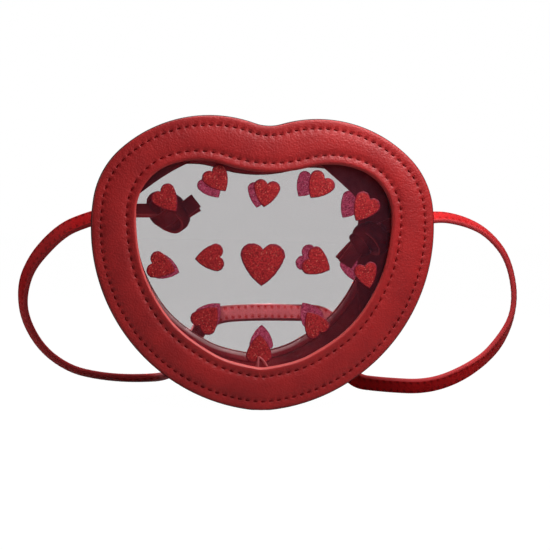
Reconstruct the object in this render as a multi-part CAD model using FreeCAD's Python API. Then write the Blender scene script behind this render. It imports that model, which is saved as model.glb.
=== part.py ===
import FreeCAD
import Part
import collections
import math
import os

from FreeCAD import Vector

# Heart shaped purse. Millimetres and degrees. It stands on its tip, with its front towards -Y and +Z up.
# The origin is under the middle of the bag, on the surface that it stands on.

# Outline of the two panels: tip, flank, shoulder, top and cleft arcs that run into each other
lobe_span = 190.0  # across the two shoulder circles
heart_height = 163.0
tip_radius = 40.0
tip_half_angle = 6.0
shoulder_radius = 46.0
shoulder_turn = 46.6  # bearing at which the shoulder runs into the flatter top arc
top_radius = 73.5
cleft_radius = 25.0

# Window opening, by the width of the leather ring around it
ring_side = 23.4
ring_top = 24.5
ring_bottom = 21.7
opening_tip_radius = 13.0
opening_tip_half_angle = 12.7
opening_shoulder_radius = 28.5
opening_shoulder_turn = 70.0
opening_top_radius = 46.3
opening_cleft_radius = 82.0

# Layers of a panel, from the outside in
bag_depth = 70.0
ring_thickness = 2.0
board_thickness = 1.2
window_thickness = 0.5
film_thickness = 0.3
edge_setback = 0.3  # board and window end this far inside the painted edge
board_setback = 1.2  # board ends this far outside the window opening
layer_gap = 0.1  # between sewn layers

# Gusset
seam_flange = 8.0  # turned-out seam allowance, from the panel's edge to the gusset's outer face
flange_thickness = 1.4
gusset_wall = 1.6
lining_thickness = 0.5
butt_gap = 0.2  # between the gusset and the zip panels

# Zip
zip_gap = 13.0  # between the edges of the two zip panels
tape_thickness = 0.6
tape_overlap = 6.0  # of the tape under its panel
chain_split = 1.3  # between the two coil halves
chain_width = 2.25  # of each coil half
chain_height = 1.9
chain_margin = 4.0  # from the end of the zip panels to the end of the coil
stop_length = 2.0
tab_thickness = 1.2
tab_width = 19.0
tab_on_zip = 2.6
tab_on_gusset = 8.0

# Slider and its pull
slider_length = 10.4
slider_width = 9.2
slider_clearance = 0.35
slider_end_gap = 0.4
slider_top = 1.5
slider_base = 1.2
slider_web = 0.6
slider_web_length = 3.0
bail_width = 2.0
bail_height = 2.2  # inside its tunnel
bail_tunnel = 3.2
bail_leg = 1.3
bail_beam = 1.0
pull_thickness = 1.4
pull_side_gap = 0.5
pull_arm = 1.2
pull_start = 4.6
pull_length = 20.0
pull_width = 7.2
pull_hole = 1.6

# Strap
strap_width = 11.0
strap_thickness = 3.2
strap_tilt = 42.0  # of its face, about its own run, with the rear edge up
corner_share = 0.45  # of the shorter run at a corner, used up by the corner's arc
slot_drop = 2.0  # of the slots, below the middle of the shoulder circles
slot_clearance = 0.6
slot_cut_length = 30.0
strap_inside = 7.0  # past the gusset's outer face
strap_outside = 16.0
left_slope = 16.0  # of the strap through the left slot, falling outwards
right_slope = -14.0
patch_thickness = 1.0
patch_width = 22.0
patch_length = 21.0

# Knots, by the knot's middle from its slot, its half length and the end of its tail from its middle
knot_radius = 10.0
knot_rounding = 7.0
left_knot = Vector(35.3, 0.0, 3.2)
left_knot_half = 12.0
left_tail = Vector(19.0, 0.0, 10.0)
right_knot = Vector(-24.4, 0.0, -9.1)
right_knot_half = 10.5
right_tail = Vector(-13.0, 0.0, -20.0)

# Route of the strap between the two slots: round the left loop, behind the bag and round the right loop
strap_route = [
    Vector(-117.4, 7.0, 94.2),
    Vector(-134.7, 18.0, 73.1),
    Vector(-138.4, 30.0, 48.8),
    Vector(-128.3, 40.0, 25.3),
    Vector(-110.8, 45.0, 11.1),
    Vector(-92.0, 46.5, 6.4),
    Vector(-70.1, 45.5, 5.1),
    Vector(-44.9, 47.0, 6.8),
    Vector(-35.7, 46.0, 27.6),
    Vector(-25.0, 44.5, 45.5),
    Vector(0.3, 43.5, 47.9),
    Vector(31.2, 43.5, 48.1),
    Vector(49.9, 44.0, 47.8),
    Vector(60.5, 44.0, 27.9),
    Vector(64.0, 37.5, 6.4),
    Vector(83.6, 26.5, 5.6),
    Vector(109.3, 19.5, 5.6),
    Vector(132.7, 21.0, 14.0),
    Vector(152.8, 22.0, 29.3),
    Vector(164.0, 19.5, 55.0),
    Vector(156.8, 13.5, 84.7),
    Vector(140.4, 7.0, 101.7),
    Vector(122.4, 2.0, 109.2),
]

# Glitter hearts: shares of a heart's width and length that give its form, and then for each heart the shares
# of the opening's half width and height at its middle, its width and length, and the bearing of its tip
film_lobe_share = 0.27
film_belly_out = 0.345
film_belly_down = 0.14
film_hearts = [
    (-0.797, 0.809, 15.0, 16.5, 250.0),
    (-0.411, 0.916, 15.5, 17.0, 240.0),
    (0.020, 0.857, 17.0, 16.0, 268.0),
    (0.429, 0.902, 15.0, 15.5, 250.0),
    (0.786, 0.796, 15.5, 16.5, 245.0),
    (-0.784, 0.483, 16.5, 17.5, -12.0),
    (-0.413, 0.538, 16.0, 16.0, 187.0),
    (-0.010, 0.513, 24.5, 23.5, 269.0),
    (0.413, 0.530, 17.0, 17.0, -22.0),
    (0.831, 0.481, 15.0, 16.0, 80.0),
    (-0.397, 0.256, 16.5, 17.0, 48.0),
    (-0.006, 0.137, 16.0, 20.5, 90.0),
    (0.409, 0.239, 16.0, 20.5, 112.0),
]
back_film_shift = Vector(3.9, 0.0, -2.8)  # of the back's hearts, from the front's places

Arc = collections.namedtuple("Arc", "x z radius start end bulge")


def bearing(start, end):
    return math.degrees(math.atan2(end[1] - start[1], end[0] - start[0]))


def polar(x, z, radius, angle):
    turn = math.radians(angle)
    return x + radius * math.cos(turn), z + radius * math.sin(turn)


def sweep_angle(length, radius):
    return math.degrees(length / radius)


def mirrored(arc):
    return Arc(-arc.x, arc.z, arc.radius, 180.0 - arc.end, 180.0 - arc.start, arc.bulge)


def heart(span, height, base, tip, tip_half, shoulder, turn, top, cleft):
    """The arcs of a heart, anticlockwise from its tip, by name."""
    lean = math.radians(turn)
    side = (span / 2 - shoulder, base + height - top + (top - shoulder) * math.sin(lean))
    crown = (side[0] - (top - shoulder) * math.cos(lean), base + height - top)
    dip = (0.0, crown[1] + math.sqrt((cleft + top) ** 2 - crown[0] ** 2))
    out = polar(0.0, 0.0, 1.0, tip_half - 90.0)
    foot = polar(0.0, base + tip, tip, tip_half - 90.0)
    reach = (foot[0] - side[0], foot[1] - side[1])
    depth = reach[0] * out[0] + reach[1] * out[1]
    # The flank touches the end of the tip arc and the shoulder circle from inside
    flank = (reach[0] ** 2 + reach[1] ** 2 - shoulder**2) / (2 * (depth - shoulder))
    hip = (foot[0] - flank * out[0], foot[1] - flank * out[1])
    waist = bearing(hip, side)
    rise = bearing(crown, dip)
    arcs = {
        "tip": Arc(0.0, base + tip, tip, -90.0 - tip_half, tip_half - 90.0, 1),
        "flank": Arc(hip[0], hip[1], flank, tip_half - 90.0, waist, 1),
        "shoulder": Arc(side[0], side[1], shoulder, waist, turn, 1),
        "top": Arc(crown[0], crown[1], top, turn, rise, 1),
        "cleft": Arc(dip[0], dip[1], cleft, rise - 180.0, -rise, -1),
    }
    for name in ("top", "shoulder", "flank"):
        arcs["left " + name] = mirrored(arcs[name])
    return arcs


def arc_point(arc, angle, inset, y):
    x, z = polar(arc.x, arc.z, arc.radius - arc.bulge * inset, angle)
    return Vector(x, y, z)


def arc_edge(arc, inset, y):
    middle = (arc.start + arc.end) / 2
    ends = [arc_point(arc, angle, inset, y) for angle in (arc.start, middle, arc.end)]
    return Part.Arc(*ends).toShape()


def outline(arcs, inset, y):
    return Part.Wire([arc_edge(arc, inset, y) for arc in arcs.values()])


def plate(arcs, inset, y0, y1):
    """A flat heart between two depths, inset from its outline."""
    return Part.Face(outline(arcs, inset, y0)).extrude(Vector(0, y1 - y0, 0))


def strip(run, inset0, inset1, y0, y1):
    """A band along a run of arcs, between two insets and two depths."""
    near = [arc_edge(arc, inset0, y0) for arc in run]
    far = [arc_edge(arc, inset1, y0) for arc in run]
    caps = [
        Part.LineSegment(arc_point(arc, angle, inset0, y0), arc_point(arc, angle, inset1, y0)).toShape()
        for arc, angle in ((run[0], run[0].start), (run[-1], run[-1].end))
    ]
    wire = Part.Wire(Part.__sortEdges__(near + far + caps))
    return Part.Face(wire).extrude(Vector(0, y1 - y0, 0))


def fused(first, *others):
    return first.multiFuse(list(others)).removeSplitter()


def across(shape):
    """The shape's mirror image at the other side of the bag."""
    return shape.mirror(Vector(0, 0, 0), Vector(1, 0, 0))


def behind(shape):
    """The shape's mirror image at the back of the bag."""
    return shape.mirror(Vector(0, 0, 0), Vector(0, 1, 0))


def save(node, shape):
    solids = shape.Solids
    if not solids or not all(solid.isValid() for solid in solids):
        raise ValueError(node + " is not a valid solid")
    body = solids[0] if len(solids) == 1 else Part.makeCompound(solids)
    body.exportStep("parts/" + node + ".step")
    print(node, len(solids), "solid(s)", round(sum(solid.Volume for solid in solids), 1), "mm3")


os.makedirs("parts", exist_ok=True)

panel = heart(
    lobe_span,
    heart_height,
    0.0,
    tip_radius,
    tip_half_angle,
    shoulder_radius,
    shoulder_turn,
    top_radius,
    cleft_radius,
)
opening_span = lobe_span - 2 * ring_side
opening_height = heart_height - ring_top - ring_bottom
opening = heart(
    opening_span,
    opening_height,
    ring_bottom,
    opening_tip_radius,
    opening_tip_half_angle,
    opening_shoulder_radius,
    opening_shoulder_turn,
    opening_top_radius,
    opening_cleft_radius,
)

# Depths of the front panel's layers, and insets of the gusset's layers
face = -bag_depth / 2
ring_back = face + ring_thickness
board_front = ring_back + layer_gap
board_back = board_front + board_thickness
window_front = board_back + layer_gap
window_back = window_front + window_thickness
flange_front = window_back + layer_gap
flange_back = flange_front + flange_thickness
wall_inner = seam_flange + gusset_wall
lining_outer = wall_inner + layer_gap
lining_inner = lining_outer + lining_thickness


def front_ring():
    return plate(panel, 0.0, face, ring_back).cut(plate(opening, 0.0, face, ring_back))


def front_board():
    hole = plate(opening, -board_setback, board_front, board_back)
    return plate(panel, edge_setback, board_front, board_back).cut(hole)


def front_window():
    return plate(panel, edge_setback, window_front, window_back)


def film_heart(shift, across, up, width, length, tip):
    """One heart of film, lying on the outer face of the front window."""
    x = across * opening_span / 2 + shift.x
    z = ring_bottom + up * opening_height + shift.z
    lobe = film_lobe_share * width
    notch = math.sqrt(lobe**2 - (width / 2 - lobe) ** 2)
    top = length / 2 - lobe
    lobe_top = width / 2 - lobe, top + lobe
    side, point = (width / 2, top), (0.0, -length / 2)
    belly = (film_belly_out * width, -film_belly_down * length)
    dip = (0.0, top + notch)

    def place(spot):
        bearing_of_up = math.radians(tip + 180.0)
        u, v = spot
        return Vector(
            x + v * math.cos(bearing_of_up) + u * math.sin(bearing_of_up),
            window_front,
            z + v * math.sin(bearing_of_up) - u * math.cos(bearing_of_up),
        )

    def curve(sign, *spots):
        return Part.Arc(*[place((sign * u, v)) for u, v in spots]).toShape()

    edges = [curve(1, point, belly, side), curve(1, side, lobe_top, dip)]
    edges += [curve(-1, dip, lobe_top, side), curve(-1, side, belly, point)]
    return Part.Face(Part.Wire(edges)).extrude(Vector(0, -film_thickness, 0))


def film_layer(shift):
    """All the hearts of a front window, moved by a shift."""
    inside = plate(opening, layer_gap, window_front - film_thickness, window_front)
    return Part.makeCompound([film_heart(shift, *sizes).common(inside).Solids[0] for sizes in film_hearts])


# Right-hand slot: where the strap crosses the gusset's outer face
slot_arc = panel["shoulder"]
slot_angle = -math.degrees(math.asin(slot_drop / (slot_arc.radius - seam_flange)))
slot_spot = arc_point(slot_arc, slot_angle, seam_flange, 0.0)


def slot_run(side, slope):
    """The strap's place in a slot and its direction outwards, with side -1 at the left."""
    fall = math.radians(slope)
    return Vector(side * slot_spot.x, 0, slot_spot.z), Vector(side * math.cos(fall), 0, -math.sin(fall))


slot_runs = {"left": slot_run(-1, left_slope), "right": slot_run(1, right_slope)}


def strap_section(spot, along, grow=0.0):
    """The strap's flat section across its run, tilted about it."""
    tilt = math.radians(strap_tilt)
    level = Vector(0, 1, 0)
    up = Vector(0, 0, 1)
    upright = (up - along * along.dot(up)).normalize()
    wide = level * math.cos(tilt) + upright * math.sin(tilt)
    thick = along.cross(wide).normalize()
    half_wide = wide * (strap_width / 2 + grow)
    half_thick = thick * (strap_thickness / 2 + grow)
    corners = [spot + half_wide * a + half_thick * b for a, b in ((1, 1), (-1, 1), (-1, -1), (1, -1))]
    return Part.makePolygon(corners + corners[:1])


def slot_cutters():
    cutters = []
    for spot, out in slot_runs.values():
        start = spot - out * (slot_cut_length / 2)
        cutters.append(Part.Face(strap_section(start, out, slot_clearance)).extrude(out * slot_cut_length))
    return cutters


def trimmed(arc, at_start, at_end, inset):
    radius = arc.radius - arc.bulge * inset
    return arc._replace(
        start=arc.start + sweep_angle(at_start, radius),
        end=arc.end - sweep_angle(at_end, radius),
    )


def gusset_run():
    arcs = [panel[name] for name in ("left shoulder", "left flank", "tip", "flank", "shoulder")]
    first = trimmed(arcs[0], butt_gap / 2, 0, seam_flange)
    last = trimmed(arcs[-1], 0, butt_gap / 2, seam_flange)
    return [first] + arcs[1:-1] + [last]


def zip_run(margin):
    first = trimmed(panel["top"], margin, 0, seam_flange)
    return [first, panel["cleft"], mirrored(first)]


def gusset_band():
    edge = flange_back + layer_gap
    return strip(gusset_run(), seam_flange, wall_inner, edge, -edge).cut(slot_cutters())


def front_flange():
    return strip(gusset_run(), 0.0, wall_inner, flange_front, flange_back)


def gusset_lining():
    lining = strip(gusset_run(), lining_outer, lining_inner, flange_front, -flange_front)
    return lining.cut(slot_cutters())


def slot_patch(side):
    inset = lining_inner + layer_gap
    half = sweep_angle(patch_length / 2, slot_arc.radius - inset)
    run = [slot_arc._replace(start=slot_angle - half, end=slot_angle + half)]
    patch = strip(run, inset, inset + patch_thickness, -patch_width / 2, patch_width / 2)
    return (patch if side == "right" else across(patch)).cut(slot_cutters())


tape_outer = wall_inner + layer_gap
tape_inner = tape_outer + tape_thickness
chain_inner = tape_outer - layer_gap
chain_outer = chain_inner - chain_height


def zip_panel_front():
    run = zip_run(butt_gap / 2)
    wall = strip(run, seam_flange, wall_inner, flange_front, -zip_gap / 2)
    flange = strip(run, 0.0, wall_inner, flange_front, flange_back)
    return fused(wall, flange)


def zip_tape_front():
    edge = -zip_gap / 2 - tape_overlap
    return strip(zip_run(butt_gap / 2), tape_outer, tape_inner, edge, -chain_split / 2)


def zip_chain_front():
    edge = -chain_split / 2 - chain_width
    return strip(zip_run(chain_margin), chain_outer, chain_inner, edge, -chain_split / 2)


def zip_end_stops():
    arc = panel["top"]
    radius = arc.radius - seam_flange
    end = arc.start + sweep_angle(chain_margin - layer_gap, radius)
    run = [arc._replace(start=end - sweep_angle(stop_length, radius), end=end)]
    half = chain_split / 2 + chain_width
    stop = strip(run, seam_flange, chain_inner, -half, half)
    return Part.makeCompound([stop, across(stop)])


def zip_end_tab():
    inset = seam_flange - layer_gap
    on_zip = panel["top"]
    on_gusset = panel["shoulder"]
    zip_end = on_zip.start + sweep_angle(tab_on_zip, on_zip.radius - inset)
    gusset_end = on_gusset.end - sweep_angle(tab_on_gusset, on_gusset.radius - inset)
    run = [on_gusset._replace(start=gusset_end), on_zip._replace(end=zip_end)]
    return strip(run, inset - tab_thickness, inset, -tab_width / 2, tab_width / 2)


# The sliders run on the top arcs, each about its own arc's middle
slider_arc = panel["top"]
slider_radius = slider_arc.radius - seam_flange
slider_half = sweep_angle(slider_length / 2, slider_radius)
slider_rest = slider_arc.end - slider_half - sweep_angle(slider_end_gap, slider_radius)
slider_end = slider_arc.start + slider_half + sweep_angle(chain_margin + slider_end_gap, slider_radius)
plate_under = chain_outer - slider_clearance
plate_over = plate_under - slider_top
base_over = tape_inner + slider_clearance
base_under = base_over + slider_base
pin_inset = plate_over - bail_height / 2


def slider_piece(start, end, inset0, inset1, width):
    """A curved block of the slider, between two places along its run, from its middle outwards."""
    angles = [slider_rest - sweep_angle(place, slider_radius) for place in (end, start)]
    run = [slider_arc._replace(start=angles[0], end=angles[1])]
    return strip(run, inset0, inset1, -width / 2, width / 2)


def slider():
    half = slider_length / 2
    top = slider_piece(-half, half, plate_over, plate_under, slider_width)
    base = slider_piece(-half, half, base_over, base_under, slider_width)
    web = slider_piece(-half, slider_web_length - half, plate_over, base_under, slider_web)
    beam_under = plate_over - bail_height
    reach = bail_tunnel / 2 + bail_leg
    legs = [
        slider_piece(start, start + bail_leg, beam_under, plate_over, bail_width)
        for start in (-reach, bail_tunnel / 2)
    ]
    beam = slider_piece(-reach, reach, beam_under - bail_beam, beam_under, bail_width)
    return fused(top, base, web, beam, *legs)


def pull():
    """The right-hand pull, lying outwards from its pin under the bail."""
    radius = pull_thickness / 2
    inner = bail_width / 2 + pull_side_gap
    outer = inner + pull_arm
    pin = Part.makeCylinder(radius, 2 * outer, Vector(0, -outer, 0), Vector(0, 1, 0))
    arms = [
        Part.makeBox(pull_start + radius, pull_arm, pull_thickness, Vector(0, start, -radius))
        for start in (-outer, inner)
    ]
    end = pull_length - pull_width / 2
    corner = Vector(pull_start, -pull_width / 2, -radius)
    tab = Part.makeBox(end - pull_start, pull_width, pull_thickness, corner)
    tip = Part.makeCylinder(pull_width / 2, pull_thickness, Vector(end, 0, -radius))
    hole = Part.makeCylinder(pull_hole, pull_thickness, Vector(end, 0, -radius))
    shape = fused(tab, tip, pin, *arms).cut(hole)
    shape.rotate(Vector(0, 0, 0), Vector(0, 1, 0), 90.0 - slider_rest)
    shape.translate(arc_point(slider_arc, slider_rest, pin_inset, 0.0))
    return shape


def strap_points():
    """The strap's route, from inside the left slot to inside the right slot."""
    ends = []
    for spot, out in slot_runs.values():
        ends.append([spot - out * strap_inside, spot + out * strap_outside])
    return ends[0] + strap_route + ends[1][::-1]


def strap_path(points):
    """Straight runs joined by arcs as large as the runs allow, with the arcs' radii."""
    edges = []
    radii = []
    last = points[0]
    for before, corner, after in zip(points, points[1:], points[2:]):
        back = before - corner
        ahead = after - corner
        turn = math.pi - back.getAngle(ahead)
        cut = corner_share * min(back.Length, ahead.Length)
        radius = cut / math.tan(turn / 2)
        back.normalize()
        ahead.normalize()
        start = corner + back * cut
        end = corner + ahead * cut
        inward = (back + ahead).normalize()
        middle = corner + inward * (radius / math.cos(turn / 2) - radius)
        edges.append(Part.LineSegment(last, start).toShape())
        edges.append(Part.Arc(start, middle, end).toShape())
        radii.append(radius)
        last = end
    edges.append(Part.LineSegment(last, points[-1]).toShape())
    return Part.Wire(edges), radii


def strap():
    points = strap_points()
    path, radii = strap_path(points)
    sweep = Part.BRepOffsetAPI.MakePipeShell(path)
    sweep.setBiNormalMode(Vector(0, 1, 0))
    sweep.add(strap_section(points[0], (points[1] - points[0]).normalize()))
    sweep.build()
    sweep.makeSolid()
    shape = sweep.shape()
    print("strap radii", [round(radius) for radius in radii])
    share = shape.Volume / (strap_width * strap_thickness * path.Length)
    print("strap length", round(path.Length, 1), "volume over section times length", round(share, 4))
    print("strap route", [[round(value, 1) for value in point] for point in points])
    return shape


def knot_lump(middle, half):
    """A level drum with rounded ends."""
    drum = Part.makeCylinder(knot_radius, 2 * half, middle - Vector(half, 0, 0), Vector(1, 0, 0))
    rims = [edge for edge in drum.Edges if isinstance(edge.Curve, Part.Circle)]
    return drum.makeFillet(knot_rounding, rims)


def strap_knot(side, place, half, tail):
    """A knot with a neck that meets the strap's end, and a flat tail."""
    spot, out = slot_runs[side]
    middle = spot + place
    end = spot - out * strap_inside
    neck_run = -out * abs(end.x - middle.x)
    neck = Part.Face(strap_section(end, out)).extrude(neck_run)
    flap = Part.Face(strap_section(middle, Vector(tail).normalize())).extrude(tail)
    return fused(knot_lump(middle, half), neck, flap)


print("slider hinge middle", round(slider_arc.x, 3), round(slider_arc.z, 3))
print("slider range", round(slider_rest - slider_end, 2), "degrees")
print("pull pin", [round(value, 3) for value in arc_point(slider_arc, slider_rest, pin_inset, 0.0)])

for node, shape in (
    ("ring", front_ring()),
    ("ring_board", front_board()),
    ("window", front_window()),
    ("seam_flange", front_flange()),
):
    save("front_" + node, shape)
    save("back_" + node, behind(shape))

save("front_hearts", film_layer(Vector(0, 0, 0)))
save("back_hearts", behind(film_layer(back_film_shift)))

save("gusset_band", gusset_band())
save("gusset_lining", gusset_lining())
for node, shape in (
    ("zip_panel", zip_panel_front()),
    ("zip_tape", zip_tape_front()),
    ("zip_coil", zip_chain_front()),
):
    save(node + "_front", shape)
    save(node + "_back", behind(shape))
save("zip_end_stops", zip_end_stops())
for node, shape in (("zip_end_tab", zip_end_tab()), ("zip_slider", slider()), ("zip_pull", pull())):
    save(node + "_right", shape)
    save(node + "_left", across(shape))

for side in slot_runs:
    save("slot_patch_" + side, slot_patch(side))
save("strap", strap())
save("strap_knot_left", strap_knot("left", left_knot, left_knot_half, left_tail))
save("strap_knot_right", strap_knot("right", right_knot, right_knot_half, right_tail))
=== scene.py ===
import math

import bpy
from mathutils import Matrix, Vector, noise


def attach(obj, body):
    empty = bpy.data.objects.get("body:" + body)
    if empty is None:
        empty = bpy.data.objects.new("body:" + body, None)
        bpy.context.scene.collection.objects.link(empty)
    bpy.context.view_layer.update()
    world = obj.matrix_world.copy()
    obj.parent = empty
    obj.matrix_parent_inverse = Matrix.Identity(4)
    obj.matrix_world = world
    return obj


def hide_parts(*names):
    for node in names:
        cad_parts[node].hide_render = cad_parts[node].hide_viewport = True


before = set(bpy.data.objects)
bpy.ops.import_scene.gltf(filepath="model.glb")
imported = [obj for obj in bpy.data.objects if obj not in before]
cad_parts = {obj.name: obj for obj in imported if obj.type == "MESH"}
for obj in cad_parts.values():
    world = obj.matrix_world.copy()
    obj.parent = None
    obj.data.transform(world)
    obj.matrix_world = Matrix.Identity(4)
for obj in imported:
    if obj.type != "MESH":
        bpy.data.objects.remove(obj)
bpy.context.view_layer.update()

mm = 0.001  # the settings are in millimetres and degrees


# Camera, floor and light

cameraPlan = {
    "place": (-75.0, -685.0, 115.0),
    "aim": (5.9, -35.0, 76.1),
    "lens": 77.16,
    "sensor": 36.0,
    "nearest": 10.0,
    "roll": 1.6,  # the purse leans this much clockwise in the picture
}
stagePlan = {
    "floorSize": 6000.0,
    "floorColour": (0.36, 0.36, 0.36, 1.0),
    "floorRoughness": 0.9,
    "cameraWhite": (0.94, 1.06),  # share and strength of the plain white that the camera sees on the floor
    "skyStrength": 0.055,
    "lamps": {  # place, aim, size, fan of the light in degrees, watts
        "keyLamp": ((150, -190, 330), (10, -35, 90), (200, 200), 180, 1.22),
        "fillLamp": ((-200, -560, 260), (0, 0, 70), (400, 400), 180, 0.09),
        "topLamp": ((10, 60, 460), (10, 20, 60), (340, 340), 180, 1.5),
        "backLamp": ((160, 520, 300), (0, 20, 80), (620, 620), 180, 1.0),
        "sideLamp": ((-460, 60, 260), (-60, 0, 80), (300, 300), 180, 0.4),
        "archLamp": ((14, 66, 420), (14, 45, 46), (130, 12), 6, 0.023),  # a strip on the strap's arch
    },
}


def aimed(thing, place, aim):
    thing.location = Vector(place) * mm
    look = (Vector(aim) - Vector(place)).to_track_quat("-Z", "Y")
    thing.rotation_euler = look.to_euler()
    return look


def addCamera():
    bpy.ops.object.camera_add()
    camera = bpy.context.object
    camera.name = "photoCamera"
    look = aimed(camera, cameraPlan["place"], cameraPlan["aim"])
    roll = Matrix.Rotation(math.radians(cameraPlan["roll"]), 3, "Z")
    camera.rotation_euler = (look.to_matrix() @ roll).to_euler()
    camera.data.lens = cameraPlan["lens"]
    camera.data.sensor_width = cameraPlan["sensor"]
    camera.data.clip_start = cameraPlan["nearest"] * mm
    bpy.context.scene.camera = camera


def seenByCamera(tree):
    return tree.nodes.new("ShaderNodeLightPath").outputs["Is Camera Ray"]


def addStage():
    bpy.ops.object.select_all(action="DESELECT")
    bpy.ops.mesh.primitive_plane_add(size=stagePlan["floorSize"] * mm)
    floor = bpy.context.object
    floor.name = "studioFloor"
    material = bpy.data.materials.new("paleFloor")
    material.use_nodes = True
    tree = material.node_tree
    shader = tree.nodes["Principled BSDF"]
    shader.inputs["Base Color"].default_value = stagePlan["floorColour"]
    shader.inputs["Roughness"].default_value = stagePlan["floorRoughness"]
    white = tree.nodes.new("ShaderNodeEmission")
    share = tree.nodes.new("ShaderNodeMath")
    share.operation = "MULTIPLY"
    share.inputs[1].default_value, white.inputs["Strength"].default_value = stagePlan["cameraWhite"]
    tree.links.new(seenByCamera(tree), share.inputs[0])
    blend = tree.nodes.new("ShaderNodeMixShader")
    tree.links.new(share.outputs[0], blend.inputs[0])
    tree.links.new(shader.outputs[0], blend.inputs[1])
    tree.links.new(white.outputs[0], blend.inputs[2])
    tree.links.new(blend.outputs[0], tree.nodes["Material Output"].inputs["Surface"])
    floor.data.materials.append(material)

    world = bpy.data.worlds.new("softSky")
    bpy.context.scene.world = world
    world.use_nodes = True
    tree = world.node_tree
    sky = tree.nodes["Background"]
    sky.inputs["Color"].default_value = (1.0, 1.0, 1.0, 1.0)
    strength = tree.nodes.new("ShaderNodeMapRange")
    strength.inputs["To Min"].default_value = stagePlan["skyStrength"]
    strength.inputs["To Max"].default_value = 1.0
    tree.links.new(seenByCamera(tree), strength.inputs["Value"])
    tree.links.new(strength.outputs[0], sky.inputs["Strength"])

    for name, (place, aim, size, fan, watts) in stagePlan["lamps"].items():
        bpy.ops.object.light_add(type="AREA")
        light = bpy.context.object
        light.name = name
        light.data.shape = "RECTANGLE"
        light.data.size, light.data.size_y = Vector(size) * mm
        light.data.spread = math.radians(fan)
        light.data.energy = watts
        aimed(light, place, aim)
    bpy.context.scene.view_settings.view_transform = "Standard"


addCamera()
addStage()
print("stage: camera, floor and", len(stagePlan["lamps"]), "lamps")


# Working tools

meshPlan = {
    "seam": 0.008,  # points of a new piece that are closer are merged
    "cadSeam": 0.002,  # and of a copy of a CAD piece
    "flat": 3,  # faces of a CAD piece that differ less are made one
    "corner": 40,  # its edges that are sharper are broken
    "smooth": 35,  # edges that are sharper stay sharp in its shading
}


def onlySelect(piece):
    if bpy.context.mode != "OBJECT":
        bpy.ops.object.mode_set(mode="OBJECT")
    bpy.ops.object.select_all(action="DESELECT")
    piece.select_set(True)
    bpy.context.view_layer.objects.active = piece


def mended(piece, fillEnds=False):
    # closes seams and poles, caps open ends and turns the faces outwards
    onlySelect(piece)
    bpy.ops.object.mode_set(mode="EDIT")
    bpy.ops.mesh.select_all(action="SELECT")
    bpy.ops.mesh.remove_doubles(threshold=meshPlan["seam"] * mm)
    if fillEnds:
        bpy.ops.mesh.select_all(action="SELECT")
        bpy.ops.mesh.fill_holes(sides=0)
    bpy.ops.mesh.select_all(action="SELECT")
    bpy.ops.mesh.normals_make_consistent(inside=False)
    bpy.ops.object.mode_set(mode="OBJECT")
    return piece


def gridPiece(name, columns, rows, place, fillEnds=False):
    # a flat grid whose crossings are moved to place(column, row): x, y, z and a mark on the colour: above 0
    # it
    #     darkens, as painted shade in dents and as the hearts' dark rims, and below 0 it lightens, as wear
    #     and painted highlight
    bpy.ops.object.select_all(action="DESELECT")
    bpy.ops.mesh.primitive_grid_add(x_subdivisions=columns, y_subdivisions=rows, size=2.0)
    piece = bpy.context.object
    piece.name = piece.data.name = name
    toneMark = piece.data.attributes.new("toneMark", "FLOAT", "POINT")
    for point in piece.data.vertices:
        column = round((point.co.x + 1) / 2 * columns)
        row = round((point.co.y + 1) / 2 * rows)
        x, y, z, mark = place(column, row)
        point.co = (x * mm, y * mm, z * mm)
        toneMark.data[point.index].value = mark
    mended(piece, fillEnds)
    bpy.ops.object.shade_smooth()
    return piece


def withModifier(piece, kind, **settings):
    onlySelect(piece)
    modifier = piece.modifiers.new(kind.title(), kind)
    for key, value in settings.items():
        setattr(modifier, key, value)
    bpy.ops.object.modifier_apply(modifier=modifier.name)
    return piece


def joined(pieces, name):
    onlySelect(pieces[0])
    for piece in pieces:
        piece.select_set(True)
    if len(pieces) > 1:
        bpy.ops.object.join()
    pieces[0].name = pieces[0].data.name = name
    return pieces[0]


def copiesOf(master, turns, name):
    # one copy of the master for each matrix, joined in one piece
    copies = []
    for turn in turns:
        copy = master.copy()
        copy.data = master.data.copy()
        copy.data.transform(turn)
        bpy.context.collection.objects.link(copy)
        copies.append(copy)
    bpy.data.objects.remove(master)
    return joined(copies, name)


def roundedCopy(node, name, edge, segments):
    # a copy of a CAD piece with its edges broken
    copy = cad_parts[node].copy()
    copy.data = copy.data.copy()
    copy.parent = None
    for key in list(copy.keys()):
        del copy[key]
    bpy.context.collection.objects.link(copy)
    copy.name = copy.data.name = name
    copy.data.materials.clear()
    onlySelect(copy)
    bpy.ops.object.mode_set(mode="EDIT")
    bpy.ops.mesh.select_all(action="SELECT")
    bpy.ops.mesh.remove_doubles(threshold=meshPlan["cadSeam"] * mm)
    bpy.ops.mesh.dissolve_limited(angle_limit=math.radians(meshPlan["flat"]))
    bpy.ops.object.mode_set(mode="OBJECT")
    corner = math.radians(meshPlan["corner"])
    withModifier(copy, "BEVEL", width=edge * mm, segments=segments, limit_method="ANGLE", angle_limit=corner)
    bpy.ops.object.shade_smooth_by_angle(angle=math.radians(meshPlan["smooth"]))
    return copy


def dressed(piece, body, slot, material, *nodes):
    piece.data.materials.clear()
    piece.data.materials.append(material)
    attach(piece, body)
    if nodes:
        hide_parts(*nodes)
    return piece


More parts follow.
